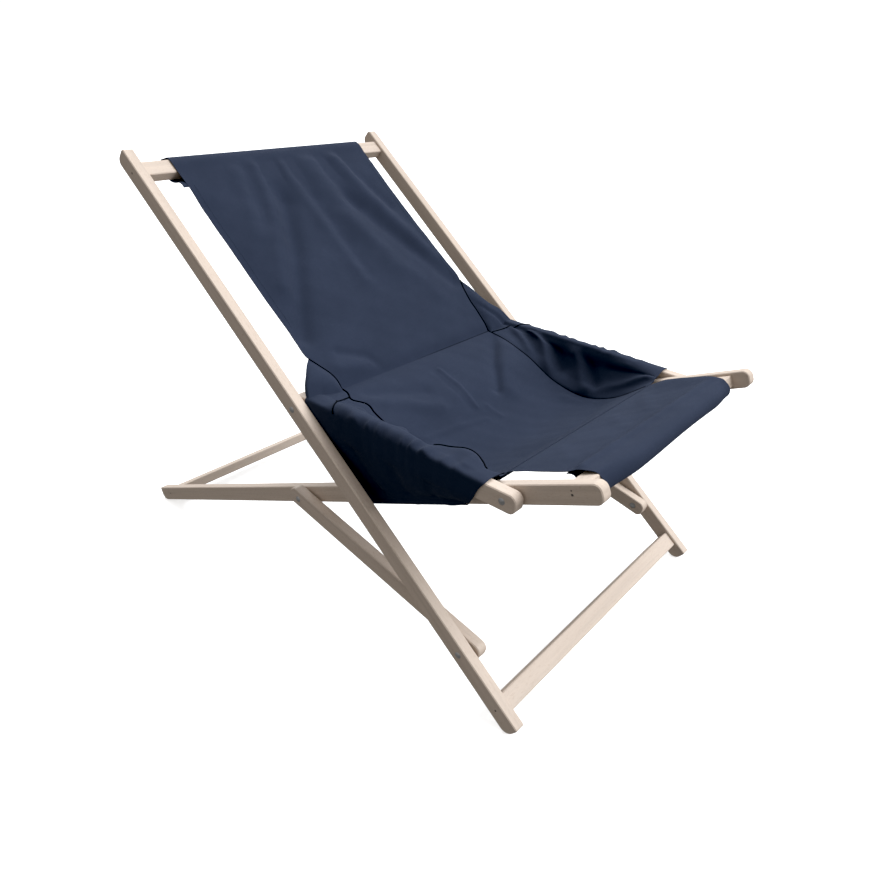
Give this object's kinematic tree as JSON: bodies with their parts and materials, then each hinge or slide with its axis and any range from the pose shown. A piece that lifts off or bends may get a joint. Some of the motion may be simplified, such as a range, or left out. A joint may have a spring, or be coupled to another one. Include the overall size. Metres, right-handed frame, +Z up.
{
  "type": "folding deckchair",
  "caption": "Folding wooden deckchair: crossed back and seat frames joined by pivoting arms and struts, with a sewn cloth sling that forms a low bucket seat with side wings.",
  "frame": {"origin": "on the floor, under the middle of the outer box of the opened chair", "axes": "+X to the sitter's left, +Y to the rear, +Z up"},
  "size_m": [0.6244, 1.1234, 0.7822],
  "materials": {
    "beech": "satin clear coat on pale beech",
    "navy_cloth": "plain woven navy canvas",
    "steel": "zinc plated"
  },
  "bodies": {
    "back_frame": {"back_rail_left": "beech", "back_rail_right": "beech", "top_bar": "beech", "foot_bar": "beech", "rail_bolts": "steel", "rail_nuts": "steel", "rail_washers": "steel", "back_frame_screws": "steel", "sling_back": "navy_cloth"},
    "arms": {"arm_left": "beech", "arm_right": "beech", "arm_bolts": "steel", "arm_nuts": "steel", "arm_washers": "steel", "sling_seat": "navy_cloth", "side_sleeve_left": "navy_cloth", "side_sleeve_right": "navy_cloth"},
    "seat_frame": {"seat_rail_left": "beech", "seat_rail_right": "beech", "front_bar": "beech", "rear_bar": "beech", "seat_nuts": "steel", "seat_frame_screws": "steel", "seat_frame_pins": "steel", "sling_front": "navy_cloth"},
    "struts": {"strut_left": "beech", "strut_right": "beech", "strut_bolts": "steel", "strut_washers": "steel"}
  },
  "joints": [
    {"name": "arm_fold", "type": "hinge", "parent": "back_frame", "child": "arms", "pos_m": [0, -0.02111, 0.40795], "axis": [-1, 0, 0], "range_deg": [0, 137], "deforming": ["sling_seat", "side_sleeve_left", "side_sleeve_right"]},
    {"name": "seat_fold", "type": "hinge", "parent": "arms", "child": "seat_frame", "pos_m": [0, -0.42524, 0.38139], "axis": [1, 0, 0], "range_deg": [0, 24.18]},
    {"name": "strut_fold", "type": "hinge", "parent": "back_frame", "child": "struts", "pos_m": [0, -0.37334, 0.09676], "axis": [1, 0, 0], "range_deg": [0, 24.18]}
  ],
  "couplings": [
    {"joint": "seat_fold", "follows": "arm_fold", "ratio": 0.17633},
    {"joint": "strut_fold", "follows": "arm_fold", "ratio": 0.17633}
  ]
}
